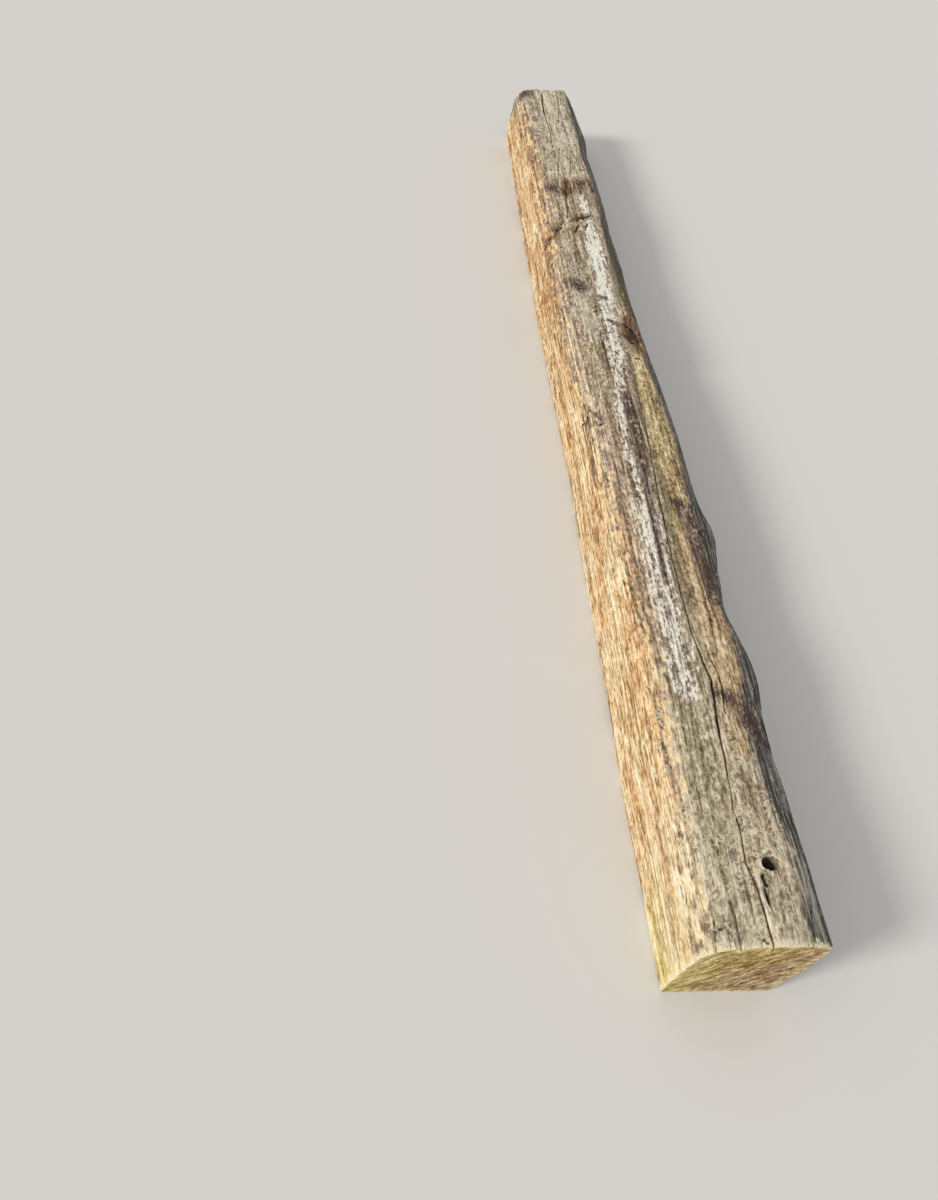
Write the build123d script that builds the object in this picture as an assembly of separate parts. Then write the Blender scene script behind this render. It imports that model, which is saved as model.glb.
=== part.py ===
"""An old hardwood railway sleeper: one baulk of timber, sawn flat on its bed and ends.

The bed lies on Z = 0 and the sleeper runs along Y, with its narrower end, the near end, at -Y.
Its section changes from end to end. At the near end it is a leaning rectangle with one rounded upper
edge. Towards the far end the other upper edge falls away into a wide wane, the natural round of the tree.
Sizes are in millimetres, and stations are distances from the near end.
"""

import os
from math import atan2, degrees, exp, sqrt

from build123d import *

# The baulk
LENGTH = 2600.0
SECTION_STEP = 65.0  # distance between the sections that the timber is drawn through

# The section at the near end, from its left foot
BED_NEAR = 153.0  # width of the sawn bed
DEPTH_NEAR = 157.0  # height of the right-hand arris, the highest line
TOP_FALL_NEAR = 9.0  # fall of the top, from the arris to its left edge
ARRIS_NEAR = 148.0  # distance of the arris from the left foot
BROW_NEAR = 184.0  # distance of the brow, the widest point of the right side
BROW_DROP_NEAR = 12.0  # how far the brow lies below the arris
LEAN_NEAR = 17.0  # how far the left side leans in at its upper end
LEFT_WANE_RUN_NEAR = 40.0
LEFT_WANE_DROP_NEAR = 32.0

# The section at the far end
BED_FAR = 198.0
DEPTH_FAR = 161.0
TOP_FALL_FAR = 10.0
ARRIS_FAR = 152.0
BROW_FAR = 207.0
BROW_DROP_FAR = 76.0
LEAN_FAR = 5.0
LEFT_WANE_RUN_FAR = 28.0
LEFT_WANE_DROP_FAR = 52.0

# Rounding of the section's faces
TOP_CROWN = 2.5  # rise of the top above the line between its edges
RIGHT_WANE_BULGE = 3.0
LEFT_WANE_BULGE = 8.0
SIDE_BULGE = 2.0

# Waves along the timber: station, how far it stands out, and how far it spreads each way
BROW_WAVES = [
    (425.0, 11.0, 75.0),
    (555.0, -9.0, 50.0),
    (735.0, 14.0, 65.0),
    (1445.0, -8.0, 120.0),
    (1840.0, -4.0, 90.0),
    (2290.0, -5.0, 80.0),
    (2420.0, 5.0, 90.0),
]
ARRIS_WAVES = [
    (125.0, 15.0, 60.0),
    (460.0, 14.0, 120.0),
    (950.0, 15.0, 300.0),
    (1400.0, 12.0, 110.0),
    (1940.0, 7.0, 110.0),
    (2170.0, -5.0, 80.0),
]
LEFT_WAVES = [
    (300.0, 3.0, 90.0),
    (1000.0, -3.0, 150.0),
    (1700.0, 4.0, 350.0),
]
TOP_WAVES = [
    (610.0, -3.0, 100.0),
    (1330.0, -4.0, 130.0),
    (2050.0, 2.0, 200.0),
]

# Spike hole, bored down from the top
HOLE_RADIUS = 10.0
HOLE_DEPTH = 110.0  # from the top of the hole's wall to its bottom
HOLE_STATION = 110.0
HOLE_FROM_LEFT = 128.0

# Drying splits: the width at the surface and the depth where they gape most
NEAR_SPLIT_WIDTH = 3.0
NEAR_SPLIT_DEPTH = 32.0
LONG_SPLIT_WIDTH = 4.5
LONG_SPLIT_DEPTH = 30.0
SIDE_SPLIT_WIDTH = 3.5
SIDE_SPLIT_DEPTH = 24.0
FAR_SPLIT_WIDTH = 6.0
FAR_SPLIT_DEPTH = 35.0
END_CHECK_WIDTH = 2.2  # the short splits that only the ends show
END_CHECK_DEPTH = 18.0

# Their lines on the top: station, distance from the left foot, and share of the full width and depth.
# The side split runs beside the widest stretch of the long one.
NEAR_SPLIT = [(0.0, 104.0, 0.9), (68.0, 103.0, 1.0), (112.0, 95.0, 0.6), (160.0, 101.0, 0.2)]
LONG_SPLIT = [
    (172.0, 99.0, 0.2),
    (246.0, 105.0, 0.7),
    (321.0, 110.0, 1.0),
    (400.0, 116.0, 0.9),
    (440.0, 109.0, 0.6),
    (492.0, 105.0, 0.5),
    (665.0, 106.0, 0.45),
    (825.0, 111.0, 0.5),
    (1074.0, 122.0, 0.4),
    (1215.0, 128.0, 0.2),
]
SIDE_SPLIT = [(355.0, 126.0, 0.3), (385.0, 129.0, 1.0), (412.0, 128.0, 0.8), (455.0, 119.0, 0.2)]

# The same for the splits of the far end, whose stations are measured from that end
FAR_SPLIT = [(0.0, 84.0, 1.0), (102.0, 79.0, 0.9), (180.0, 76.0, 0.6), (289.0, 81.0, 0.4), (369.0, 76.0, 0.2)]

# End checks
NEAR_LEFT_CHECK = [(0.0, 34.0, 1.0), (38.0, 38.0, 0.3)]
NEAR_MIDDLE_CHECK = [(0.0, 63.0, 1.0), (44.0, 65.0, 0.6), (62.0, 63.0, 0.3)]
FAR_RIGHT_CHECK = [(0.0, 133.0, 1.0), (55.0, 129.0, 0.9), (127.0, 120.0, 0.3)]

# Worn hollows that open onto the right side: station, reach in from the arris, half of the length, depth
HOLLOWS = [
    (1320.0, 50.0, 48.0, 11.0),
    (752.0, 30.0, 34.0, 6.0),
    (340.0, 34.0, 30.0, 5.0),
]

OVERLAP = 20.0  # how far a cutter stands clear of the timber it cuts
SAW_ALLOWANCE = 15.0  # timber below the bed, before the bed is sawn flat


def between(near, far, station):
    """A size part-way along the sleeper, going evenly from the near end's to the far end's."""
    return near + (far - near) * station / LENGTH


def wave(waves, station):
    """How far a line of the timber stands out at a station."""
    return sum(out * exp(-(((station - at) / spread) ** 2)) for at, out, spread in waves)


def left_foot(station):
    """The left foot's X, on a line that the section's other sizes are measured from."""
    return -BROW_NEAR / 2 - wave(LEFT_WAVES, station)


def section_points(station):
    """The corners of the section at a station, as (X, Z), from the left foot to the foot of the left wane."""
    left = left_foot(station)
    depth = between(DEPTH_NEAR, DEPTH_FAR, station) + wave(TOP_WAVES, station)
    arris_x = left + between(ARRIS_NEAR, ARRIS_FAR, station) + wave(ARRIS_WAVES, station)
    brow_x = left + between(BROW_NEAR, BROW_FAR, station) + wave(BROW_WAVES, station)
    side_x = left + between(LEAN_NEAR, LEAN_FAR, station)
    top_x = side_x + between(LEFT_WANE_RUN_NEAR, LEFT_WANE_RUN_FAR, station)
    top_z = depth - between(TOP_FALL_NEAR, TOP_FALL_FAR, station)
    side_z = top_z - between(LEFT_WANE_DROP_NEAR, LEFT_WANE_DROP_FAR, station)
    return {
        "left_foot": (left, 0.0),
        "right_foot": (left + between(BED_NEAR, BED_FAR, station), 0.0),
        "brow": (brow_x, depth - between(BROW_DROP_NEAR, BROW_DROP_FAR, station)),
        "arris": (arris_x, depth),
        "top_edge": (top_x, top_z),
        "wane_foot": (side_x, side_z),
    }


def bowed(start, end, bulge):
    """An arc from start to end that stands out by bulge to its right, which is outward here."""
    run, rise = end[0] - start[0], end[1] - start[1]
    chord = sqrt(run**2 + rise**2)
    middle = (
        (start[0] + end[0]) / 2 + rise / chord * bulge,
        (start[1] + end[1]) / 2 - run / chord * bulge,
    )
    return ThreePointArc(start, middle, end)


def section(station):
    """The closed outline of the timber at a station, going round from the left foot."""
    at = section_points(station)
    plane = Plane(origin=(0, station - LENGTH / 2, 0), x_dir=(1, 0, 0), z_dir=(0, -1, 0))
    left_below, right_below = (at["left_foot"][0], -SAW_ALLOWANCE), (at["right_foot"][0], -SAW_ALLOWANCE)
    outline = [
        Line(at["left_foot"], left_below),
        Line(left_below, right_below),
        Line(right_below, at["right_foot"]),
        bowed(at["right_foot"], at["brow"], SIDE_BULGE),
        bowed(at["brow"], at["arris"], RIGHT_WANE_BULGE),
        bowed(at["arris"], at["top_edge"], TOP_CROWN),
        bowed(at["top_edge"], at["wane_foot"], LEFT_WANE_BULGE),
        bowed(at["wane_foot"], at["left_foot"], SIDE_BULGE),
    ]
    return plane * make_face(outline)


def top_height(station, from_left):
    """The height of the crowned top, whose arc is shallow enough to take as a parabola."""
    at = section_points(station)
    (edge_x, edge_z), (arris_x, arris_z) = at["top_edge"], at["arris"]
    share = min((left_foot(station) + from_left - edge_x) / (arris_x - edge_x), 1.0)
    return edge_z + (arris_z - edge_z) * share + 4 * TOP_CROWN * share * (1 - share)


def baulk():
    """The whole timber before it was bored and before it split, with its bed sawn flat."""
    count = round(LENGTH / SECTION_STEP)
    log = loft([section(LENGTH * i / count) for i in range(count + 1)])
    return split(log, bisect_by=Plane.XY, keep=Keep.TOP)


def spike_hole():
    """A bore straight down from the top."""
    top = top_height(HOLE_STATION, HOLE_FROM_LEFT)
    height = HOLE_DEPTH + OVERLAP
    middle = (
        left_foot(HOLE_STATION) + HOLE_FROM_LEFT,
        HOLE_STATION - LENGTH / 2,
        top - HOLE_DEPTH + height / 2,
    )
    return Pos(*middle) * Cylinder(HOLE_RADIUS, height)


def split_wedge(line, width, depth):
    """A V-shaped cutter along a line on the top, as wide and deep at each point as its share says."""
    rings = []
    for station, from_left, share in line:
        x, z = left_foot(station) + from_left, top_height(station, from_left)
        half, deep = width * share / 2, depth * share
        flare = half * (deep + OVERLAP) / deep
        plane = Plane(origin=(x, station - LENGTH / 2, z), x_dir=(1, 0, 0), z_dir=(0, -1, 0))
        rings.append(plane * make_face(Polyline((0, -deep), (flare, OVERLAP), (-flare, OVERLAP), close=True)))
    return loft(rings, ruled=True)


def run_out(line):
    """The same line with its first point, on the end face, carried out past it."""
    (_, from_left, share), *rest = line
    return [(-OVERLAP, from_left, share), *rest]


def from_far_end(line):
    """A line whose stations are measured from the far end, turned into stations from the near end."""
    return [(LENGTH - station, from_left, share) for station, from_left, share in line]


def split_cutters():
    """The splits that run along the top, and the checks in its two ends."""
    return [
        split_wedge(run_out(NEAR_SPLIT), NEAR_SPLIT_WIDTH, NEAR_SPLIT_DEPTH),
        split_wedge(LONG_SPLIT, LONG_SPLIT_WIDTH, LONG_SPLIT_DEPTH),
        split_wedge(SIDE_SPLIT, SIDE_SPLIT_WIDTH, SIDE_SPLIT_DEPTH),
        split_wedge(from_far_end(run_out(FAR_SPLIT)), FAR_SPLIT_WIDTH, FAR_SPLIT_DEPTH),
        split_wedge(run_out(NEAR_LEFT_CHECK), END_CHECK_WIDTH, END_CHECK_DEPTH),
        split_wedge(run_out(NEAR_MIDDLE_CHECK), END_CHECK_WIDTH, END_CHECK_DEPTH),
        split_wedge(from_far_end(run_out(FAR_RIGHT_CHECK)), END_CHECK_WIDTH, END_CHECK_DEPTH),
    ]


def hollow_cutter(station, reach, half_length, deep):
    """A drum lying across the arris. It tilts down to the right, so its cut dies out at its reach."""
    radius = (half_length**2 + deep**2) / (2 * deep)
    arris_x, arris_z = section_points(station)["arris"]
    tilt = degrees(atan2(deep, reach))
    past_brow = BROW_FAR - ARRIS_FAR + OVERLAP
    at_arris = Pos(arris_x, station - LENGTH / 2, arris_z) * Rot(0, 90 + tilt, 0)
    return at_arris * Pos(deep - radius, 0, 0) * Cylinder(radius, 2 * (reach + past_brow))


def sleeper():
    timber = baulk() - spike_hole()
    for cutter in split_cutters() + [hollow_cutter(*hollow) for hollow in HOLLOWS]:
        timber -= cutter
    box = timber.bounding_box()
    return Pos(-box.center().X, -box.center().Y, -box.min.Z) * timber


os.makedirs("parts", exist_ok=True)
export_step(sleeper(), "parts/sleeper.step")
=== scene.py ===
"""The weathered surface of an old hardwood railway sleeper, on a pale studio floor.

The timber is one closed mesh. Its rows of points are sections across the sleeper and its columns follow
the grain. Sizes are in metres. A station is a distance from the near end, and a place across is a distance
from the left foot, carried on down the two sides, so it is negative on the left side. The mesh has marks,
which say where on the timber each stretch of other colour lies, and the materials follow them.
"""

from functools import cached_property
from itertools import product
from math import radians

import bpy
import numpy as np
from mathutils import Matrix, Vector
from mathutils.geometry import delaunay_2d_cdt


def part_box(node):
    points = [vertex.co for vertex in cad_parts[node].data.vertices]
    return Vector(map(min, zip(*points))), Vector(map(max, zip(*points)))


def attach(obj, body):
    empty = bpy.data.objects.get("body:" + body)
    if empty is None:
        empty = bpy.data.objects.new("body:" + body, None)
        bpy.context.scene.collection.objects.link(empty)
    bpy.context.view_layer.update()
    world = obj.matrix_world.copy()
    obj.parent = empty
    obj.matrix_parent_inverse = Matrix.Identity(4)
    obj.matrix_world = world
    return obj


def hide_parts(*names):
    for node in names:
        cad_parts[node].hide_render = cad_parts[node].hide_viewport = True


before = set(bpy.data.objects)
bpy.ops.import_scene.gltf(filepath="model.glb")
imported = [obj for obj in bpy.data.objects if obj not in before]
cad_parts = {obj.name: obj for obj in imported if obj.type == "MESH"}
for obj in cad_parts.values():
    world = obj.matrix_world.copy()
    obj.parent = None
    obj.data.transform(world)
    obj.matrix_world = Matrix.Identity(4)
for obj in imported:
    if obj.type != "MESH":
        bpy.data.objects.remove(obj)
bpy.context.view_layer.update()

# The timber's section, as the solid has it
LENGTH = 2.6
BED_NEAR, BED_FAR = 0.153, 0.198
DEPTH_NEAR, DEPTH_FAR = 0.157, 0.161
TOP_FALL_NEAR, TOP_FALL_FAR = 0.009, 0.010
ARRIS_NEAR, ARRIS_FAR = 0.148, 0.152
BROW_NEAR, BROW_FAR = 0.184, 0.207
BROW_DROP_NEAR, BROW_DROP_FAR = 0.012, 0.076
LEAN_NEAR, LEAN_FAR = 0.017, 0.005
LEFT_WANE_RUN_NEAR, LEFT_WANE_RUN_FAR = 0.040, 0.028
LEFT_WANE_DROP_NEAR, LEFT_WANE_DROP_FAR = 0.032, 0.052
TOP_CROWN, RIGHT_WANE_BULGE, LEFT_WANE_BULGE, SIDE_BULGE = 0.0025, 0.003, 0.008, 0.002

# Waves along the timber: station, how far it stands out, and how far it spreads each way
BROW_WAVES = [
    (0.425, 0.011, 0.075), (0.555, -0.009, 0.050), (0.735, 0.014, 0.065), (1.445, -0.008, 0.120),
    (1.840, -0.004, 0.090), (2.290, -0.005, 0.080), (2.420, 0.005, 0.090),
]
ARRIS_WAVES = [
    (0.125, 0.015, 0.060), (0.460, 0.014, 0.120), (0.950, 0.015, 0.300), (1.400, 0.012, 0.110),
    (1.940, 0.007, 0.110), (2.170, -0.005, 0.080),
]
LEFT_WAVES = [(0.300, 0.003, 0.090), (1.000, -0.003, 0.150), (1.700, 0.004, 0.350)]
TOP_WAVES = [(0.610, -0.003, 0.100), (1.330, -0.004, 0.130), (2.050, 0.002, 0.200)]

# Spike hole
HOLE_STATION, HOLE_ACROSS, HOLE_RADIUS, HOLE_DEPTH = 0.110, 0.128, 0.010, 0.110

# The two lines of the grain that the widest splits follow: station, place across, and the split's share
MAIN_SPLIT_WIDTH, MAIN_SPLIT_DEPTH = 0.0042, 0.030
MAIN_LINE = [
    (0.000, 0.104, 0.60), (0.068, 0.103, 0.66), (0.112, 0.095, 0.45), (0.150, 0.100, 0.35),
    (0.166, 0.100, 0.00), (0.186, 0.098, 0.25), (0.246, 0.105, 0.55), (0.321, 0.110, 1.00),
    (0.400, 0.116, 0.90), (0.440, 0.109, 0.60), (0.492, 0.105, 0.50), (0.665, 0.106, 0.48),
    (0.825, 0.111, 0.52), (1.074, 0.122, 0.45), (1.215, 0.128, 0.20), (1.250, 0.126, 0.00),
    (1.400, 0.112, 0.00), (1.600, 0.088, 0.00), (1.800, 0.072, 0.00), (1.840, 0.076, 0.25),
    (2.016, 0.089, 0.20), (2.060, 0.088, 0.00), (2.200, 0.077, 0.00), (2.240, 0.076, 0.35),
    (2.311, 0.081, 0.50), (2.420, 0.076, 0.80), (2.498, 0.079, 1.10), (2.600, 0.084, 1.25),
]
SIDE_LINE = [
    (0.000, 0.121, 0.00), (HOLE_STATION, HOLE_ACROSS, 0.00), (0.340, 0.125, 0.00),
    (0.355, 0.126, 0.40), (0.385, 0.129, 0.80), (0.412, 0.128, 0.65), (0.455, 0.121, 0.25),
    (0.470, 0.121, 0.00), (0.665, 0.126, 0.00), (0.825, 0.130, 0.00), (1.074, 0.138, 0.00),
    (1.215, 0.141, 0.00), (1.400, 0.135, 0.00), (1.600, 0.123, 0.00), (1.800, 0.112, 0.00),
    (2.016, 0.110, 0.00), (2.231, 0.107, 0.00), (2.371, 0.113, 0.00), (2.400, 0.116, 0.20),
    (2.494, 0.127, 0.45), (2.600, 0.133, 0.60),
]
SPLIT_WOBBLE, WOBBLE_SIZE = 0.0008, 0.030  # how far the splits stray from their lines, and over what length
SPLIT_UNEVENNESS, UNEVEN_SIZE = 0.22, 0.018  # how far their width comes and goes, as a share of it
SPLIT_FLOOR, SHOULDER_DEPTH = 0.22, 0.55  # half the floor's width, and the depth beside it, as shares
MAIN_SEED, SIDE_SEED = 11, 12  # of the wobble's and the unevenness's random values
LIP_WIDTH, LIP_DROP = 0.0003, 0.0005  # the worn lip beside a split

# Finer checks: half width, depth, and their lines as station and place across
CHECKS = [
    (0.0009, 0.010, [(0.000, 0.034), (0.038, 0.039)]),
    (0.0009, 0.012, [(0.000, 0.063), (0.044, 0.065), (0.064, 0.062)]),
    (0.0007, 0.006, [(0.000, 0.011), (0.050, 0.014)]),
    (0.0009, 0.009, [(0.000, 0.154), (0.058, 0.169), (0.120, 0.171)]),
    (0.0009, 0.009, [(0.150, 0.154), (0.196, 0.152), (0.237, 0.155), (0.294, 0.160), (0.380, 0.166)]),
    (0.0007, 0.006, [(0.216, 0.029), (0.262, 0.032)]),
    (0.0007, 0.006, [(0.286, 0.058), (0.325, 0.060)]),
    (0.0008, 0.007, [(0.380, 0.028), (0.410, 0.022)]),
    (0.0007, 0.006, [(1.115, 0.075), (1.150, 0.083), (1.170, 0.080), (1.282, 0.083), (1.335, 0.081)]),
    (0.0008, 0.008, [(1.969, 0.066), (2.088, 0.080), (2.205, 0.095)]),
    (0.0008, 0.008, [(2.019, 0.099), (2.057, 0.110), (2.132, 0.115)]),
    (0.0007, 0.006, [(0.560, 0.150), (0.640, 0.158), (0.700, 0.163)]),
    (0.0008, 0.007, [(0.440, 0.135), (0.520, 0.140), (0.600, 0.143)]),
]

# Strokes are lists of (station, place across, half width). Gouges sink the timber by a depth, and ridges
# are gouges of a depth below 0.
GOUGES = [
    (0.0080, [(0.0925, 0.1135, 0.0042), (0.0800, 0.1160, 0.0046)]),
    (0.0090, [(0.0740, 0.1130, 0.0046), (0.0600, 0.1130, 0.0046)]),
    (0.0030, [(0.0560, 0.1120, 0.0018), (0.0500, 0.1130, 0.0016)]),
    (0.0030, [(0.0290, 0.0400, 0.0020), (0.0230, 0.0530, 0.0022)]),
    (0.0025, [(0.0120, 0.0890, 0.0020), (0.0050, 0.0970, 0.0022)]),
    (0.0040, [(1.3960, 0.0760, 0.0030), (1.4060, 0.1030, 0.0032)]),
    (0.0035, [(1.4400, 0.0930, 0.0034), (1.4440, 0.1010, 0.0034)]),
    (0.0045, [(1.3520, 0.0910, 0.0030), (1.3390, 0.1130, 0.0034)]),
    (0.0045, [(1.3220, 0.0960, 0.0030), (1.3180, 0.1130, 0.0032)]),
    (0.0050, [(1.3010, 0.0900, 0.0044), (1.3000, 0.0990, 0.0044)]),
    (0.0060, [(1.3550, 0.1400, 0.0050), (1.3300, 0.1620, 0.0060), (1.2740, 0.1660, 0.0070)]),
    (0.0060, [(1.3200, 0.1290, 0.0040), (1.2960, 0.1440, 0.0050), (1.2730, 0.1550, 0.0060)]),
    (0.0035, [(1.2480, 0.1380, 0.0030), (1.2430, 0.1520, 0.0036)]),
    (0.0030, [(1.2250, 0.1320, 0.0026), (1.2230, 0.1480, 0.0030)]),
    (0.0050, [(1.5100, 0.0540, 0.0040), (1.4960, 0.0700, 0.0050)]),
    (0.0040, [(1.4880, 0.0560, 0.0030), (1.4900, 0.0660, 0.0030)]),
    (0.0030, [(1.5650, 0.0510, 0.0022), (1.5810, 0.0870, 0.0022)]),
    (0.0070, [(2.0150, 0.1500, 0.0050), (1.9430, 0.1560, 0.0060)]),
    (0.0060, [(1.7720, 0.1540, 0.0060), (1.7640, 0.1600, 0.0050)]),
    (0.0050, [(2.1730, 0.0680, 0.0042), (2.1640, 0.0700, 0.0042)]),
    (0.0040, [(2.0950, 0.0790, 0.0034), (2.0820, 0.0800, 0.0034)]),
    (0.0040, [(2.0640, 0.1080, 0.0036), (2.0500, 0.1110, 0.0036)]),
    (0.0030, [(2.3710, 0.1120, 0.0030), (2.3620, 0.1120, 0.0030)]),
    (0.0050, [(1.7040, -0.0040, 0.0056), (1.7400, 0.0300, 0.0064), (1.7660, 0.0580, 0.0076)]),
    (0.0120, [(1.7840, 0.0780, 0.0070), (1.8100, 0.1040, 0.0130), (1.8300, 0.1360, 0.0090)]),
    (0.0090, [(1.7420, 0.0840, 0.0070), (1.7740, 0.0960, 0.0080)]),
    (0.0070, [(1.7560, 0.1100, 0.0060), (1.7840, 0.1200, 0.0060)]),
    (-0.0070, [(1.7600, 0.0560, 0.0070), (1.7860, 0.0800, 0.0070), (1.8060, 0.1060, 0.0060)]),
    (-0.0060, [(1.7960, 0.0700, 0.0060), (1.7600, 0.0980, 0.0070)]),
    (0.0040, [(1.0530, 0.0100, 0.0040), (1.0460, 0.0160, 0.0040)]),
    (0.0040, [(1.0550, 0.0270, 0.0044), (1.0500, 0.0320, 0.0040)]),
    (0.0030, [(1.0160, 0.0340, 0.0060), (1.0120, 0.0400, 0.0050)]),
    (0.0030, [(0.3790, 0.0700, 0.0024), (0.3860, 0.0690, 0.0024)]),
    (0.0035, [(0.8020, 0.1300, 0.0030), (0.7940, 0.1320, 0.0030)]),
    (0.0035, [(0.7320, 0.1200, 0.0030), (0.7260, 0.1230, 0.0030)]),
]

# Worn hollows that open onto the right side: station, reach in from the arris, half of the length, depth
HOLLOWS = [(1.320, 0.050, 0.048, 0.011), (0.752, 0.030, 0.034, 0.006), (0.340, 0.034, 0.030, 0.005)]

# Knots, where the grain swells: station, place across, spread, height
KNOTS = [(0.735, 0.166, 0.016, 0.0035), (0.318, -0.005, 0.014, 0.0020), (1.060, 0.015, 0.016, 0.0022)]

# Stretches of other colour, as strokes
STRETCHES = {
    "crust": [
        [(1.925, 0.122, 0.005), (1.800, 0.121, 0.010), (1.700, 0.120, 0.013), (1.556, 0.116, 0.014),
         (1.440, 0.113, 0.013), (1.280, 0.104, 0.012), (1.170, 0.098, 0.010), (1.100, 0.083, 0.007),
         (1.040, 0.078, 0.006), (0.955, 0.076, 0.007), (0.843, 0.077, 0.009), (0.765, 0.078, 0.011),
         (0.680, 0.078, 0.014), (0.578, 0.075, 0.014), (0.515, 0.074, 0.016), (0.456, 0.075, 0.018),
         (0.405, 0.076, 0.017), (0.375, 0.078, 0.012)],
        [(0.860, 0.100, 0.004), (0.700, 0.097, 0.005), (0.620, 0.094, 0.004)],
    ],
    "stain": [
        [(1.100, 0.101, 0.007), (1.055, 0.098, 0.015), (0.988, 0.097, 0.013), (0.900, 0.095, 0.009),
         (0.791, 0.092, 0.007), (0.700, 0.089, 0.006), (0.600, 0.086, 0.005)],
        [(0.700, 0.150, 0.010), (0.620, 0.158, 0.014), (0.560, 0.160, 0.012)],
        [(0.790, 0.135, 0.010), (0.760, 0.152, 0.018), (0.715, 0.160, 0.014)],
        [(0.378, 0.122, 0.010), (0.362, 0.143, 0.016), (0.330, 0.162, 0.018), (0.296, 0.176, 0.015)],
        [(1.970, 0.045, 0.022), (1.940, 0.084, 0.020), (1.990, 0.128, 0.016)],
        [(2.560, 0.030, 0.020), (2.600, 0.040, 0.024)],
        [(1.060, 0.014, 0.014), (1.030, 0.030, 0.014)],
        [(1.520, 0.046, 0.020), (1.490, 0.066, 0.018)],
        [(1.455, 0.096, 0.006), (1.450, 0.112, 0.007)],
        [(1.362, 0.108, 0.007), (1.350, 0.124, 0.007)],
        [(1.330, 0.164, 0.012), (1.300, 0.172, 0.015), (1.268, 0.168, 0.010)],
        [(0.330, -0.008, 0.010), (0.308, -0.004, 0.010)],
    ],
    "moss": [
        [(1.740, 0.158, 0.006), (1.573, 0.160, 0.014), (1.462, 0.157, 0.018), (1.385, 0.168, 0.013)],
        [(0.870, 0.122, 0.005), (0.760, 0.117, 0.008), (0.651, 0.114, 0.012), (0.541, 0.103, 0.011),
         (0.454, 0.099, 0.013), (0.370, 0.090, 0.014)],
        [(0.440, 0.040, 0.016), (0.400, 0.044, 0.012)],
        [(0.345, 0.072, 0.022), (0.240, 0.066, 0.030), (0.150, 0.062, 0.028), (0.110, 0.055, 0.016)],
    ],
    "tan": [
        [(1.235, 0.143, 0.012), (1.120, 0.142, 0.018), (0.950, 0.141, 0.022), (0.800, 0.140, 0.020),
         (0.650, 0.134, 0.024), (0.500, 0.144, 0.024), (0.400, 0.150, 0.024), (0.290, 0.143, 0.020)],
    ],
    "rosy": [
        [(1.080, 0.048, 0.014), (0.800, 0.043, 0.019), (0.650, 0.045, 0.020), (0.500, 0.042, 0.018),
         (0.430, 0.046, 0.012)],
        [(0.330, 0.047, 0.010), (0.262, 0.042, 0.012), (0.200, 0.040, 0.008)],
    ],
    "pale": [
        [(2.600, 0.095, 0.060), (2.450, 0.095, 0.056), (2.250, 0.092, 0.050), (2.060, 0.090, 0.036)],
        [(1.560, 0.070, 0.020), (1.420, 0.062, 0.020), (1.300, 0.064, 0.014)],
        [(0.100, 0.122, 0.005), (0.060, 0.121, 0.007), (0.010, 0.124, 0.012)],
        [(0.140, 0.156, 0.009), (0.060, 0.155, 0.012), (0.000, 0.151, 0.013)],
    ],
    "rot": [
        [(1.375, 0.150, 0.012), (1.317, 0.150, 0.027), (1.262, 0.160, 0.020)],
        [(1.990, 0.093, 0.016), (1.930, 0.085, 0.010)],
        [(0.620, 0.018, 0.012), (0.560, 0.020, 0.012)],
        [(1.690, -0.010, 0.010), (1.745, 0.034, 0.020), (1.780, 0.070, 0.024), (1.810, 0.110, 0.020)],
    ],
    "bare": [
        [(1.756, 0.054, 0.012), (1.786, 0.080, 0.013), (1.806, 0.106, 0.010)],
        [(1.800, 0.068, 0.010), (1.756, 0.100, 0.012)],
        [(0.245, -0.012, 0.004), (0.198, -0.002, 0.007), (0.150, 0.000, 0.009), (0.110, 0.006, 0.009),
         (0.079, 0.013, 0.008), (0.055, 0.020, 0.005)],
        [(0.100, 0.104, 0.003), (0.050, 0.110, 0.006), (0.000, 0.112, 0.008)],
        [(0.098, 0.114, 0.004), (0.122, 0.116, 0.003), (0.128, 0.130, 0.004), (0.114, 0.142, 0.004)],
    ],
}

# The line between the golden left side and the grey top: station and place across
GOLD_EDGE = [
    (0.000, 0.018), (0.064, 0.024), (0.205, 0.030), (0.406, 0.040), (0.653, 0.036), (0.799, 0.027),
    (0.992, 0.018), (1.219, 0.015), (1.444, 0.010), (1.710, 0.021), (2.022, 0.024), (2.327, 0.021),
    (2.480, 0.014), (2.600, -0.030),
]
GOLD_FADE, STRIP_FADE = 0.02, 0.01  # how gradually the golden side and the grey right strip, darkened with painted shade, begin

# Relief: the size of each form's grains, across the grain and along it, and the seed of its random values
RELIEF_GRAINS = {
    "drift": (0.050, 0.170, 31), "swell": (0.060, 0.300, 61), "ribs": (0.0085, 0.160, 41),
    "fine": (0.0036, 0.055, 51), "crumbs": (0.0075, 0.011, 71), "pits": (0.009, 0.030, 81),
}
GRAIN_DRIFT, KNOT_SWERVE = 0.004, 0.35  # how far the grain wanders, and its swerve round a knot as a share
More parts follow.
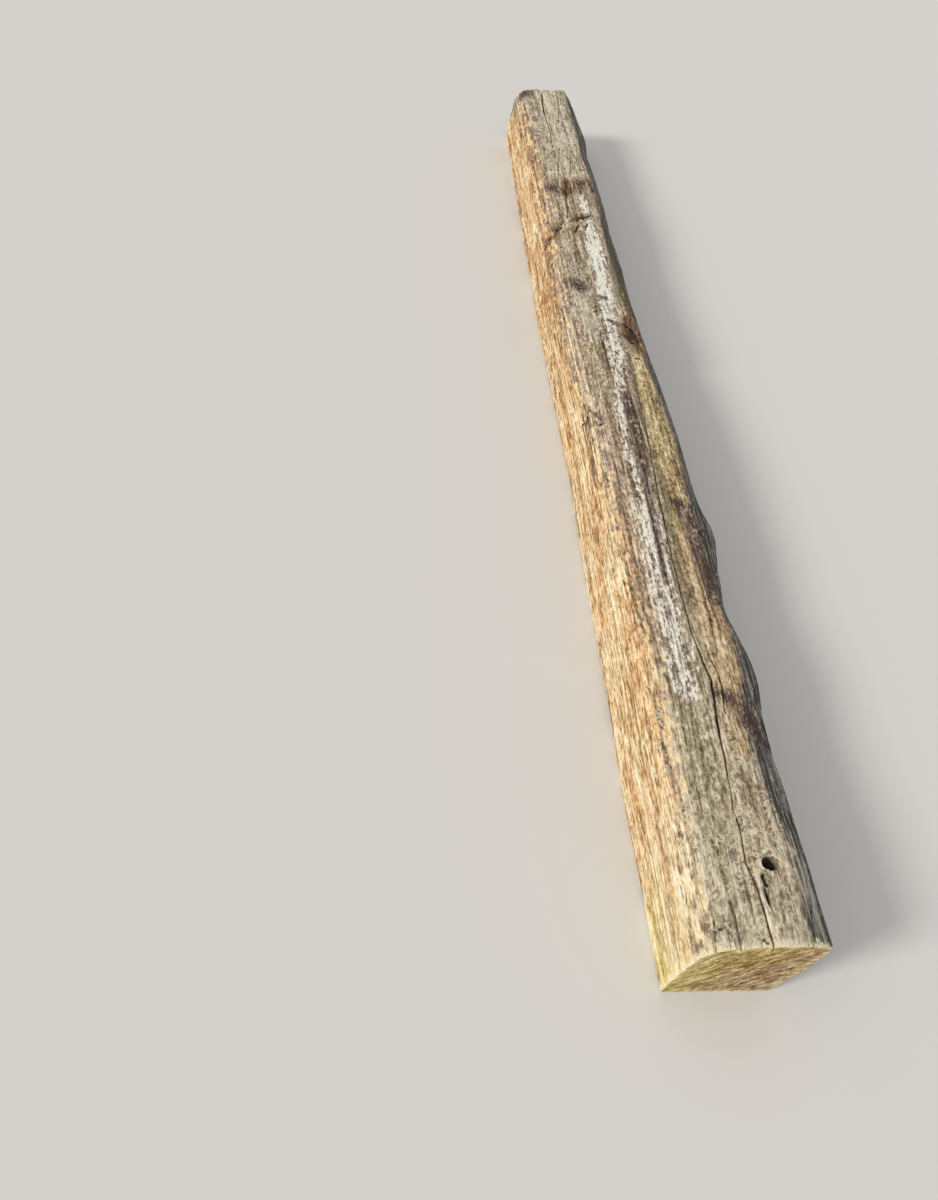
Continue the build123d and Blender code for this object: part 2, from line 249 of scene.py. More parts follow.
# How high each side's swell, ribs, fine ribs and crumbs stand, and how deep its pits are
RELIEF = {
    "left_side": (0.0011, 0.00050, 0.00030, 0.00015, 0.0010),
    "left_wane": (0.0011, 0.00045, 0.00030, 0.00020, 0.0010),
    "top": (0.0010, 0.00050, 0.00030, 0.00065, 0.0014),
    "right_wane": (0.0010, 0.00090, 0.00035, 0.00015, 0.0008),
    "right_side": (0.0010, 0.00060, 0.00030, 0.00015, 0.0010),
    "bed": (0.0, 0.0, 0.0, 0.0, 0.0),
}
PIT_BEGINS, PIT_DEEPEST = 0.45, 0.80  # the random values between which a pit goes down
GOUGE_RAGGEDNESS, GOUGE_RAG_SIZE, GOUGE_SEED = 0.35, (0.003, 0.005), 101  # of the gouges' edges
# how dark the gouges are painted with shade and dirt
GOUGE_SHADE_AND_DIRT = 0.9
HOLLOW_ROUGHNESS, HOLLOW_ROUGH_SIZE, HOLLOW_SEED = 0.0012, (0.006, 0.008), 111  # of the hollows' floors
HOLLOW_BELOW_BROW = 0.01  # the deepest that a hollow may reach below the brow
CHECK_FADE = 0.12  # the share of a check's length over which it fades out at an end
DARK_DEPTH, DARKEST_DEPTH = 0.0015, 0.006  # the depths between which splits and checks turn dark with painted shade and dirt
RIM_WEAR, RIM_REACH = 0.0014, 0.005  # how far the sawn ends' edges are worn in, and how far along
RIM_RAGS = [(0.7, 0.005, 91), (0.5, 0.017, 92)]  # how ragged that wear is: share, size of the rags, seed
SAW_RUN, SAW_RISE = 0.74, 0.67  # the direction of the saw's tears on the end faces
TEAR_HEIGHT, TEAR_SIZE = 0.0009, (0.0075, 0.035)
END_ROUGHNESS, END_ROUGH_SIZE = 0.0008, 0.030
NEAR_END_SEED, FAR_END_SEED = 121, 131

LATTICE = 256  # random values each way before the lattice noise repeats
LAYER_SHARE = 0.55  # how strong each finer layer of rough noise is beside the one before
OUTSIDE = -1.0  # what a mark says where none of its strokes reaches

# Mesh: columns on each side of the section, and the rows' spacing at the two ends of the timber
MAIN_COLUMN, SIDE_COLUMN = 24, 36  # the top's columns that follow the two lines of the widest splits
COLUMNS = {"left_side": 38, "left_wane": 20, "top": 50, "right_wane": 28, "right_side": 30, "bed": 20}
FIRST_ROWS, LAST_ROWS = [0.0, 0.0010, 0.0025, 0.0050], [0.0080, 0.0045, 0.0020, 0.0]  # from the two ends
ROW_STEP_NEAR, ROW_STEP_FAR, SHORTEST_STEP = 0.0044, 0.0066, 0.001
SECTION_SAMPLES = 60  # points on each side of the section before the columns are placed
EDGE_SOFTNESS = 2.0  # how many of those samples its corners are rounded over
BED_PLACE = 0.45  # puts the bed's places across clear of every stroke
END_STEP, END_JITTER = 0.0045, 0.0008  # spacing of the points on the end faces, and how uneven it is
END_CLEARANCE = 0.4 * END_STEP  # from those points to the rim
TRIANGLES_INSIDE, SAME_POINT = 1, 1e-7  # the kind of faces wanted, and how close two points may come

# Mesh round the spike hole: square rings of points, numbered from its middle, are drawn round. The bore's
# rings have a share of its radius and a height, and those outside stand up and out round its worn mouth.
HOLE_ROW_STEP, HOLE_ROWS = 0.0024, 9
RIM_RING, LAST_ROUND_RING, LAST_RING = 4, 5, 8
BORE_RINGS = [(0.0, -HOLE_DEPTH), (0.55, -HOLE_DEPTH), (0.96, 0.004 - HOLE_DEPTH), (0.98, -0.006)]
RAISED_RINGS = {4: -0.0008, 5: 0.0020, 6: 0.0013, 7: 0.0003}
WIDENED_RINGS = {4: 0.17, 5: 0.12, 6: 0.06}
HEIGHT_UNEVENNESS, HEIGHT_LUMP, HEIGHT_SEED = 0.6, 3.0, 95  # of the raised rings; a lump's size in points
WIDTH_UNEVENNESS, WIDTH_LUMPS, WIDTH_SEED = 0.07, 2.3, 97  # of the mouth's width; how close its lumps are
RIM_DARKNESS = 0.55  # how dark the first ring inside is painted with shade, where the rings below it are painted fully dark

# Shaders
NOISE_LOW, NOISE_HIGH = 0.36, 0.64  # the range that most of a noise texture's values lie in
END_STREAK_TILT = radians(42)
DULL_GLOSS = 0.25  # the wood's specular level
FLOOR_REACH, FLOOR_ROUGHNESS = 30.0, 0.9

# Light, and a camera with the place, the turn in degrees and the lens in millimetres of a hand-held phone's
LAMP_FROM, LAMP_STRENGTH, LAMP_WIDTH, LAMP_COLOUR = (-3.0, -1.1, 1.9), 1.90, radians(14), (1.0, 0.97, 0.92)
SKY_STRENGTH = 0.55
CAMERA_PLACE, CAMERA_TURN = (-0.5185, -1.7090, 1.2431), (41.2428, -6.452, -3.0098)
FOCAL_LENGTH, SENSOR_HEIGHT, VIEW_END = 28.2, 36.0, 200.0


def between(near, far, station):
    """A size part-way along the sleeper."""
    return near + (far - near) * station / LENGTH


def wave(waves, station):
    """How far a line of the timber stands out at each station."""
    return sum(out * np.exp(-(((station - at) / spread) ** 2)) for at, out, spread in waves)


def smooth(low, high, value):
    """Rises smoothly from 0 at low to 1 at high."""
    share = np.clip((value - low) / (high - low), 0.0, 1.0)
    return share * share * (3 - 2 * share)


def along_line(line, station, column):
    """One of a line's values at each station."""
    stations = [point[0] for point in line]
    return np.interp(station, stations, [point[column] for point in line])


def lattice(u, v, seed):
    """Smooth random values from -1 to 1 that change over one unit of u and v."""
    table = np.random.default_rng(seed).uniform(-1, 1, (LATTICE, LATTICE))
    column, row = np.floor(u).astype(int), np.floor(v).astype(int)
    across, along = smooth(0, 1, u - column), smooth(0, 1, v - row)
    next_column, next_row = (column + 1) % LATTICE, (row + 1) % LATTICE
    column, row = column % LATTICE, row % LATTICE
    first = table[column, row] * (1 - across) + table[next_column, row] * across
    second = table[column, next_row] * (1 - across) + table[next_column, next_row] * across
    return first * (1 - along) + second * along


def rough(u, v, seed, layers=3):
    """Lattice noise in several finer and weaker layers."""
    return sum(lattice(u * 2**i, v * 2**i, seed + i) * LAYER_SHARE**i for i in range(layers))


def row_stations():
    """The stations of the mesh's rows, closer at the sawn ends and round the spike hole."""
    stations = list(FIRST_ROWS)
    hole_reach = HOLE_ROWS * HOLE_ROW_STEP
    while stations[-1] < LENGTH - LAST_ROWS[0] - SHORTEST_STEP:
        here = stations[-1]
        step = between(ROW_STEP_NEAR, ROW_STEP_FAR, here)
        if HOLE_STATION - hole_reach - SHORTEST_STEP < here < HOLE_STATION + hole_reach:
            step = HOLE_ROW_STEP
        elif here < HOLE_STATION - hole_reach < here + 1.5 * step:
            step = HOLE_STATION - hole_reach - here
        stations.append(here + step)
    return np.array(stations[:-1] + [LENGTH - from_end for from_end in LAST_ROWS])


def left_foot(station):
    """The left foot's X, before the timber is moved onto the frame's box."""
    return -BROW_NEAR / 2 - wave(LEFT_WAVES, station)


def corners(station):
    """The section's corners at each station, as arrays of X and Z, in order round the section."""
    left = left_foot(station)
    flat = np.zeros_like(station)
    depth = between(DEPTH_NEAR, DEPTH_FAR, station) + wave(TOP_WAVES, station)
    arris_x = left + between(ARRIS_NEAR, ARRIS_FAR, station) + wave(ARRIS_WAVES, station)
    brow_x = left + between(BROW_NEAR, BROW_FAR, station) + wave(BROW_WAVES, station)
    side_x = left + between(LEAN_NEAR, LEAN_FAR, station)
    top_x = side_x + between(LEFT_WANE_RUN_NEAR, LEFT_WANE_RUN_FAR, station)
    top_z = depth - between(TOP_FALL_NEAR, TOP_FALL_FAR, station)
    side_z = top_z - between(LEFT_WANE_DROP_NEAR, LEFT_WANE_DROP_FAR, station)
    return {
        "left_foot": np.stack([left, flat], 1),
        "wane_foot": np.stack([side_x, side_z], 1),
        "top_edge": np.stack([top_x, top_z], 1),
        "arris": np.stack([arris_x, depth], 1),
        "brow": np.stack([brow_x, depth - between(BROW_DROP_NEAR, BROW_DROP_FAR, station)], 1),
        "right_foot": np.stack([left + between(BED_NEAR, BED_FAR, station), flat], 1),
    }


SIDES = [
    ("left_side", "left_foot", "wane_foot", SIDE_BULGE),
    ("left_wane", "wane_foot", "top_edge", LEFT_WANE_BULGE),
    ("top", "top_edge", "arris", TOP_CROWN),
    ("right_wane", "arris", "brow", RIGHT_WANE_BULGE),
    ("right_side", "brow", "right_foot", SIDE_BULGE),
    ("bed", "right_foot", "left_foot", 0.0),
]


def sampled_sections(at):
    """Every section as an even string of points, with its corners worn round."""
    share = np.arange(SECTION_SAMPLES)[None, :, None] / SECTION_SAMPLES
    pieces = []
    for _, start, end, bulge in SIDES:
        a, b = at[start][:, None, :], at[end][:, None, :]
        run = b - a
        outward = np.stack([-run[..., 1], run[..., 0]], -1) / np.linalg.norm(run, axis=-1, keepdims=True)
        pieces.append(a + run * share + outward * 4 * bulge * share * (1 - share))
    points = np.concatenate(pieces, 1)
    shifts = range(round(-3 * EDGE_SOFTNESS), round(3 * EDGE_SOFTNESS) + 1)
    weights = np.exp(-0.5 * (np.array(shifts) / EDGE_SOFTNESS) ** 2)
    weights /= weights.sum()
    return sum(weight * np.roll(points, shift, axis=1) for weight, shift in zip(weights, shifts))


def split_columns(station, at):
    """Where each column of the top lies, as a share of the top's width, and how open the two splits are."""
    edge = at["top_edge"][:, 0] - left_foot(station)
    arris = at["arris"][:, 0] - left_foot(station)
    spacing = (arris - edge) / COLUMNS["top"]
    opening = {}
    knots = [(0, edge)]
    for column, line, seed in ((MAIN_COLUMN, MAIN_LINE, MAIN_SEED), (SIDE_COLUMN, SIDE_LINE, SIDE_SEED)):
        share = along_line(line, station, 2)
        wobble = SPLIT_WOBBLE * rough(station / WOBBLE_SIZE, 0 * station, seed)
        middle = along_line(line, station, 1) + wobble * smooth(0.05, 0.3, share)
        uneven = 1 + SPLIT_UNEVENNESS * lattice(station / UNEVEN_SIZE, 0 * station, seed + 5)
        gape = MAIN_SPLIT_WIDTH * share * uneven
        open_share = smooth(0.0, 0.12, share)
        lip = 2 * spacing * (1 - open_share) + (gape / 2 + LIP_WIDTH) * open_share
        inner = spacing * (1 - open_share) + gape * SPLIT_FLOOR * open_share
        for step, reach in ((-2, -lip), (-1, -inner), (0, 0 * lip), (1, inner), (2, lip)):
            knots.append((column + step, middle + reach))
        opening[column] = share
    knots.append((COLUMNS["top"], arris))
    place = np.zeros((len(station), COLUMNS["top"]))
    for (first, start), (last, end) in zip(knots, knots[1:]):
        for column in range(first, last):
            place[:, column] = start + (end - start) * (column - first) / (last - first)
    return (place - edge[:, None]) / (arris - edge)[:, None], opening


def side_starts():
    """The first column of each side of the section, and how many columns there are."""
    starts, first = {}, 0
    for name, *_ in SIDES:
        starts[name] = first
        first += COLUMNS[name]
    return starts, first


def resting_grid(station, at):
    """The timber's points before they weather, row by row, and how open the two splits are at each row."""
    samples = sampled_sections(at)
    top_share, opening = split_columns(station, at)
    places = []
    for index, (name, *_) in enumerate(SIDES):
        share = np.tile(np.arange(COLUMNS[name]) / COLUMNS[name], (len(station), 1))
        places.append((index + (top_share if name == "top" else share)) * SECTION_SAMPLES)
    place = np.concatenate(places, 1)
    low = np.floor(place).astype(int)
    part = (place - low)[..., None]
    rows = np.arange(len(station))[:, None]
    count = samples.shape[1]
    points = samples[rows, low % count] * (1 - part) + samples[rows, (low + 1) % count] * part
    return points, opening


def outward_normals(points):
    """The direction out of the timber at each point of its sections."""
    run = np.roll(points, -2, axis=1) - np.roll(points, 2, axis=1)
    normal = np.stack([-run[..., 1], run[..., 0]], -1)
    return normal / np.linalg.norm(normal, axis=-1, keepdims=True)


def right_of_foot(at, name, station):
    """How far right of the left foot one of the section's corners lies, row by row."""
    return (at[name][:, 0] - left_foot(station))[:, None]


def places_across(points, station, at, starts):
    """Each point's place across: its distance from the left foot on the top, carried on down the sides."""
    across = points[..., 0] - left_foot(station)[:, None]
    left = slice(starts["left_side"], starts["left_wane"])
    right = slice(starts["right_side"], starts["bed"])
    bed = slice(starts["bed"], None)
    below_left = at["wane_foot"][:, 1][:, None] - points[:, left, 1]
    below_right = at["brow"][:, 1][:, None] - points[:, right, 1]
    across[:, left] = right_of_foot(at, "wane_foot", station) - below_left
    across[:, right] = right_of_foot(at, "brow", station) + below_right
    across[:, bed] = BED_PLACE - across[:, bed]
    return across


def snapped_row(points, across, sunk, target, check, fade):
    """Draws the nearest columns of one row in to a check, and sinks its middle."""
    half_width, depth, _ = check
    near = int(np.argmin(np.abs(across - target)))
    for side in (-1, 0, 1):
        column = near + side
        move = (target + side * half_width - across[column]) * fade
        other = column + int(np.sign(move))
        gap = across[other] - across[column]
        if abs(gap) > 1e-6:
            points[column] += (points[other] - points[column]) * np.clip(move / gap, 0.0, 1.0)
    sunk[near] = np.maximum(sunk[near], depth * fade)


def snapped_checks(points, across, station, sunk):
    """Draws columns in to every finer check. A check fades out at its ends, but not at the sawn end."""
    for check in CHECKS:
        line = check[-1]
        first, last = line[0][0], line[-1][0]
        for row in np.flatnonzero((station >= first) & (station <= last)):
            along = (station[row] - first) / (last - first)
            fade = smooth(0.0, CHECK_FADE, along if first > 0 else 1.0) * smooth(0.0, CHECK_FADE, 1 - along)
            target = along_line(line, station[row], 1)
            snapped_row(points[row], across[row], sunk[row], target, check, fade)


def closeness(stroke, station, across):
    """How near each point lies to a stroke: 1 on its line, 0 at its half width and down to -1 outside."""
    best = np.full(across.shape, OUTSIDE)
    for start, end in zip(stroke, stroke[1:]):
        along, over, widening = np.subtract(end, start)
        from_station, from_across = station - start[0], across - start[1]
        share = np.clip((from_station * along + from_across * over) / (along**2 + over**2), 0.0, 1.0)
        distance = np.hypot(from_station - along * share, from_across - over * share)
        best = np.maximum(best, 1 - distance / (start[2] + widening * share))
    return best


def relief(station, across, around, starts):
    """How far each point stands out of the sawn timber after years of weather."""

    def grains(form, place):
        """A place round the section and the stations, counted in a form's grains, and the form's seed."""
        size_across, size_along, seed = RELIEF_GRAINS[form]
        return place / size_across, station / size_along, seed

    drift_across, drift_along, drift_seed = grains("drift", around)
    drift = GRAIN_DRIFT * lattice(drift_along, drift_across, drift_seed)
    for knot_station, knot_across, spread, _ in KNOTS:
        near = np.exp(-((station - knot_station) ** 2 + (across - knot_across) ** 2) / (2 * spread**2))
        drift = drift + KNOT_SWERVE * (across - knot_across) * near
    grain = around + drift
    forms = (
        rough(*grains("swell", around), layers=3),
        1 - 2 * np.abs(rough(*grains("ribs", grain), layers=2)),
        lattice(*grains("fine", grain)),
        rough(*grains("crumbs", around), layers=2),
        -smooth(PIT_BEGINS, PIT_DEEPEST, lattice(*grains("pits", grain))),
    )
    out = np.zeros_like(around)
    for name, first in starts.items():
        part = slice(first, first + COLUMNS[name])
        out[:, part] = sum(height * form[:, part] for height, form in zip(RELIEF[name], forms))
    for knot_station, knot_across, spread, height in KNOTS:
        apart = ((station - knot_station) ** 2 + (across - knot_across) ** 2) / spread**2
        out = out + height * np.exp(-apart)
    return out


def worn_ends(station, around):
    """How far the sawn ends' edges are worn in."""
    from_end = np.minimum(station, LENGTH - station)
    even = np.zeros_like(station)
    ragged = np.ones_like(station)
    for share, size, seed in RIM_RAGS:
        ragged += share * lattice(around / size, even, seed)
    return RIM_WEAR * ragged * np.clip(1 - from_end / RIM_REACH, 0, 1) ** 2


def splits_sunk(sunk, opening, starts):
    """Sinks the columns along the two widest splits."""
    for column, share in opening.items():
        middle = starts["top"] + column
        depth = MAIN_SPLIT_DEPTH * np.sqrt(share)
        sunk[:, middle] = np.maximum(sunk[:, middle], depth)
        for step in (-1, 1):
            sunk[:, middle + step] = np.maximum(sunk[:, middle + step], SHOULDER_DEPTH * depth)
            sunk[:, middle + 2 * step] += LIP_DROP * smooth(0, 0.2, share)


def gouged(out, dark, station, across):
    """Cuts the gouges and raises the ridges, and paints shade and dirt into the gouges."""
    size_across, size_along = GOUGE_RAG_SIZE
    rags = GOUGE_RAGGEDNESS * lattice(across / size_across, station / size_along, GOUGE_SEED)
    for depth, stroke in GOUGES:
        ragged = closeness(stroke, station, across) + rags
        out -= depth * smooth(0.0, 0.9, ragged)
        if depth > 0:
            np.maximum(dark, GOUGE_SHADE_AND_DIRT * smooth(0.1, 0.8, ragged), out=dark)


def hollowed(section, station, across, at, station_row):
    """Wears the hollows down from the arris to the right side."""
    arris_across = right_of_foot(at, "arris", station_row)
    brow_across = right_of_foot(at, "brow", station_row)
    brow_height, arris_height = at["brow"][:, 1][:, None], at["arris"][:, 1][:, None]
    size_across, size_along = HOLLOW_ROUGH_SIZE
    roughness = HOLLOW_ROUGHNESS * rough(across / size_across, station / size_along, HOLLOW_SEED)
    for at_station, reach, half_length, deep in HOLLOWS:
        share = (across - (arris_across - reach)) / reach
        bowl = 1 - ((station - at_station) / half_length) ** 2
        floor = arris_height - deep * share + roughness
        lowered = np.minimum(section[..., 1], np.maximum(floor, brow_height - HOLLOW_BELOW_BROW))
        cut = np.clip(bowl, 0, 1) * smooth(0.0, 0.15, share) * (across < brow_across)
        section[..., 1] += (lowered - section[..., 1]) * cut


def bored(place, dark, first_column):
    """Draws the points round the spike hole onto rings, and sinks the inner rings into a bore."""
    row = int(np.argmin(np.abs(place[:, 0, 1] - HOLE_STATION)))
    column = first_column + SIDE_COLUMN
    middle = place[row, column].copy()
    fall = TOP_FALL_NEAR / (ARRIS_NEAR - LEAN_NEAR - LEFT_WANE_RUN_NEAR)
    for up, over in product(range(-LAST_RING, LAST_RING + 1), repeat=2):
        ring = max(abs(up), abs(over))
        away = np.array([over, up]) / max(np.hypot(over, up), 1)
        if ring < RIM_RING:
            share, height = BORE_RINGS[ring]
            radius = HOLE_RADIUS * share
            # painted shade inside the bore: part dark at the rim ring and fully dark below it
            dark[row + up, column + over] = RIM_DARKNESS if ring == RIM_RING - 1 else 1.0
        else:
            uneven = HEIGHT_UNEVENNESS * lattice(over / HEIGHT_LUMP, up / HEIGHT_LUMP, HEIGHT_SEED)
            ragged = WIDTH_UNEVENNESS * lattice(away[0] * WIDTH_LUMPS, away[1] * WIDTH_LUMPS, WIDTH_SEED)
            height = RAISED_RINGS.get(ring, 0.0) * (1 + uneven)
            radius = HOLE_RADIUS * (ring / RIM_RING + WIDENED_RINGS.get(ring, 0.0))
            radius *= 1 + ragged * (ring <= LAST_ROUND_RING)
        weight = smooth(LAST_RING + 0.5, LAST_ROUND_RING, ring) if ring > LAST_ROUND_RING else 1.0
        point = place[row + up, column + over]
        move = (middle[:2] + away * radius - point[:2]) * weight
        point[:2] += move
        if ring < RIM_RING:
            point[2] = middle[2] + fall * away[0] * radius + height
        else:
            point[2] += fall * move[0] + height


def colour_marks(station, across, station_row, at, dark):
    """The marks that the materials follow: how near each point lies to every stretch of other colour, how
    far it is into the golden side and the right strip, how much painted shade and dirt it has, and how far
    from a sawn end."""
    marks = {name: np.full(across.shape, OUTSIDE) for name in STRETCHES}
    for name, strokes in STRETCHES.items():
        for stroke in strokes:
            marks[name] = np.maximum(marks[name], closeness(stroke, station, across))
    gold_edge = along_line(GOLD_EDGE, station_row, 1)[:, None]
    marks["gold"] = np.clip((gold_edge - across) / GOLD_FADE, -2, 2)
    marks["strip"] = np.clip((across - right_of_foot(at, "arris", station_row)) / STRIP_FADE, -2, 2)
    marks["dark"] = dark
    marks["rim"] = np.minimum(station, LENGTH - station)
    return marks


def frame_shift(section):
    """How far the section's points move in X to lie in the middle of the solid's box."""
    low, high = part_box("sleeper")
    return (low.x + high.x) / 2 - (section[..., 0].min() + section[..., 0].max()) / 2


def weathered_grid():
    """The timber's points, row by row, with all that is carved in them, and the marks that colour it."""
    station_row = row_stations()
    at = corners(station_row)
    starts, count = side_starts()
    section, opening = resting_grid(station_row, at)
    station = np.repeat(station_row[:, None], count, 1)
    steps = np.linalg.norm(np.roll(section, -1, axis=1) - section, axis=-1)
    around = np.cumsum(steps, 1) - steps
    across = places_across(section, station_row, at, starts)
    normal = outward_normals(section)

    sunk = np.zeros_like(around)
    snapped_checks(section, across, station_row, sunk)
    splits_sunk(sunk, opening, starts)
    # painted shade and dirt in the splits and checks, darker where they are deeper
    dark = smooth(DARK_DEPTH, DARKEST_DEPTH, sunk)
    out = relief(station, across, around, starts) - worn_ends(station, around)
    gouged(out, dark, station, across)
    section = section + normal * (out - sunk)[..., None]
    hollowed(section, station, across, at, station_row)

    place = np.stack([section[..., 0] + frame_shift(section), station, section[..., 1]], -1)
    bored(place, dark, starts["top"])
    place[..., 1] -= LENGTH / 2
    place[..., 2] = np.maximum(place[..., 2], 0.0)
    return place, colour_marks(station, across, station_row, at, dark)


def inside_outline(points, outline):
    """Which points an outline holds, and how far each lies from it."""
    inside = np.zeros(len(points), bool)
    clear = np.full(len(points), 1.0)
    x, z = points[:, 0], points[:, 1]
    for (ax, az), (bx, bz) in zip(outline, np.roll(outline, -1, axis=0)):
        crosses = (az > z) != (bz > z)
        slope = (bx - ax) / (bz - az) if bz != az else 0.0
        inside ^= crosses & (x < slope * (z - az) + ax)
        length_squared = (bx - ax) ** 2 + (bz - az) ** 2 + 1e-12
        along = np.clip(((x - ax) * (bx - ax) + (z - az) * (bz - az)) / length_squared, 0, 1)
        clear = np.minimum(clear, np.hypot(x - ax - along * (bx - ax), z - az - along * (bz - az)))
    return inside, clear


def end_triangles(outline, seed):
    """The points inside an end face, how clear of its outline they lie, and triangles over them all.

    The triangles number the outline's points first and the points inside after them.
    """
    low, high = outline.min(0) + END_STEP / 2, outline.max(0)
    columns, rows = np.arange(low[0], high[0], END_STEP), np.arange(low[1], high[1], END_STEP)
    even = np.array([(x, z) for z in rows for x in columns])
    inner = even + np.random.default_rng(seed).uniform(-END_JITTER, END_JITTER, even.shape)
    inside, clear = inside_outline(inner, outline)
    chosen = inside & (clear > END_CLEARANCE)
    inner, clear = inner[chosen], clear[chosen]
    count = len(outline)
    edges = [(i, (i + 1) % count) for i in range(count)]
    points = [Vector(point) for point in np.concatenate([outline, inner])]
    _, _, faces, origin, _, _ = delaunay_2d_cdt(points, edges, [], TRIANGLES_INSIDE, SAME_POINT)
    place = [given[0] if given else None for given in origin]
    if None in place:
        raise ValueError("the end's outline crosses itself")
    return inner, clear, [[place[i] for i in face] for face in faces]


def saw_marks(x, z, seed):
    """How far an end face stands out of its plane: the ridges that the saw left."""
    over, along = z * SAW_RUN - x * SAW_RISE, x * SAW_RUN + z * SAW_RISE
    tears = TEAR_HEIGHT * rough(over / TEAR_SIZE[0], along / TEAR_SIZE[1], seed, 2)
    return tears + END_ROUGHNESS * rough(x / END_ROUGH_SIZE, z / END_ROUGH_SIZE, seed + 1, 3)


def sawn_end(rim, rim_numbers, first_number, inward, seed):
    """A sawn end's points inside its rim, how clear of the rim they lie, and its faces."""
    inner, clear, triangles = end_triangles(rim[:, [0, 2]], seed)
    depth = TEAR_HEIGHT + saw_marks(inner[:, 0], inner[:, 1], seed)
    points = np.stack([inner[:, 0], rim[0, 1] + inward * depth, inner[:, 1]], -1)
    numbers = rim_numbers.tolist() + list(range(first_number, first_number + len(points)))
    return points, clear, [tuple(numbers[i] for i in triangle[::inward]) for triangle in triangles]


def sharpened(mesh, index):
    """Keeps the rims of the two sawn ends sharp."""
    columns = index.shape[1]
    rims = set(index[0].tolist()) | set(index[-1].tolist())
    for edge in mesh.edges:
        first, second = edge.vertices
        if first in rims and second in rims and abs(first - second) in (1, columns - 1):
            edge.use_edge_sharp = True


def placed(name, data):
    """A new object in the scene."""
    made = bpy.data.objects.new(name, data)
    bpy.context.scene.collection.objects.link(made)
    return made


def timber():
    """The whole sleeper as one closed mesh: the grid round it, and the faces of the two sawn ends."""
    place, marks = weathered_grid()
    rows, columns = place.shape[:2]
    index = np.arange(rows * columns).reshape(rows, columns)
    onward = np.roll(index, -1, axis=1)
    sides = np.stack([index[:-1], onward[:-1], onward[1:], index[1:]], -1).reshape(-1, 4)
    points, faces, clear_of_rim = place.reshape(-1, 3), sides.tolist(), []
    for row, inward, seed in ((0, 1, NEAR_END_SEED), (rows - 1, -1, FAR_END_SEED)):
        inner, clear, triangles = sawn_end(place[row], index[row], len(points), inward, seed)
        points = np.concatenate([points, inner])
        faces += triangles
        clear_of_rim.append(clear)
    mesh = bpy.data.meshes.new("weathered_sleeper")
    mesh.from_pydata(points.tolist(), [], faces)
    mesh.polygons.foreach_set("use_smooth", np.ones(len(faces), bool))
    surface = np.zeros(len(faces), np.int32)
    surface[len(sides) :] = 1
    mesh.polygons.foreach_set("material_index", surface)
    for name, values in marks.items():
        on_ends = np.full(len(points) - values.size, OUTSIDE)
        if name == "rim":
            on_ends = np.concatenate(clear_of_rim)
        mark = mesh.attributes.new(name, "FLOAT", "POINT")
        mark.data.foreach_set("value", np.concatenate([values.ravel(), on_ends]).astype(np.float32))
    sharpened(mesh, index)
    mesh.update()
    return placed("weathered_sleeper", mesh)


def linear(channel):
    """One channel of a screen colour, from 0 to 255, as the amount of light that a shader works with."""
    share = channel / 255
    return ((share + 0.055) / 1.055) ** 2.4 if channel > 10 else share / 12.92


def srgb(red, green, blue):
    """A screen colour as a shader takes it."""
    return linear(red), linear(green), linear(blue), 1.0


# Tones of the wood, from its darkest grains to its lightest: a place from 0 to 1 and a screen colour
TONES = {
    "gold": ((0.20, 134, 98, 58), (0.40, 204, 164, 112), (0.55, 238, 208, 158), (0.76, 255, 248, 216)),
    "orange": ((0.20, 106, 70, 42), (0.40, 186, 138, 90), (0.55, 222, 176, 124), (0.76, 252, 228, 182)),
    "green_foot": ((0.18, 124, 104, 44), (0.38, 190, 166, 88), (0.58, 232, 214, 132), (0.80, 250, 240, 182)),
    "bare": ((0.18, 182, 150, 108), (0.45, 234, 208, 166), (0.75, 255, 246, 220)),
    "grey": ((0.16, 96, 88, 66), (0.36, 146, 132, 104), (0.58, 186, 172, 142), (0.80, 234, 222, 192)),
    "pinkish": ((0.16, 96, 80, 70), (0.36, 154, 132, 116), (0.58, 198, 176, 158), (0.80, 244, 230, 212)),
    "brown": ((0.18, 72, 54, 38), (0.38, 124, 100, 72), (0.58, 164, 140, 108), (0.80, 222, 202, 166)),
    "moss": ((0.16, 84, 77, 52), (0.36, 145, 135, 103), (0.58, 187, 176, 141), (0.80, 236, 228, 196)),
    "rosy": ((0.16, 108, 86, 70), (0.36, 170, 144, 120), (0.58, 212, 188, 162), (0.80, 248, 232, 208)),
    "tan": ((0.16, 92, 66, 44), (0.36, 162, 132, 96), (0.58, 216, 186, 144), (0.80, 252, 234, 198)),
    "olive": ((0.16, 94, 76, 42), (0.36, 162, 140, 93), (0.58, 211, 190, 139), (0.80, 250, 237, 192)),
    "pale": ((0.16, 116, 104, 84), (0.36, 174, 162, 138), (0.58, 210, 198, 172), (0.80, 246, 236, 212)),
    "crust": ((0.20, 96, 79, 68), (0.36, 160, 140, 124), (0.50, 219, 204, 185), (0.66, 255, 251, 237)),
    "stain": ((0.20, 30, 21, 20), (0.40, 60, 44, 41), (0.62, 104, 83, 77), (0.84, 192, 174, 164)),
    "rot": ((0.18, 28, 18, 12), (0.40, 74, 50, 34), (0.62, 138, 104, 74), (0.84, 212, 178, 136)),
    # the right strip's grey, darkened with painted shade
    "strip": ((0.18, 44, 44, 40), (0.40, 72, 72, 66), (0.60, 109, 108, 100), (0.84, 170, 168, 156)),
    "sawn_gold": ((0.20, 102, 80, 42), (0.40, 170, 142, 86), (0.58, 212, 184, 122), (0.78, 250, 232, 176)),
    "sawn_brown": ((0.20, 80, 56, 44), (0.40, 142, 112, 86), (0.58, 186, 156, 120), (0.78, 232, 210, 168)),
    "sawn_pale": ((0.20, 152, 128, 66), (0.50, 216, 194, 124), (0.80, 252, 240, 184)),
}

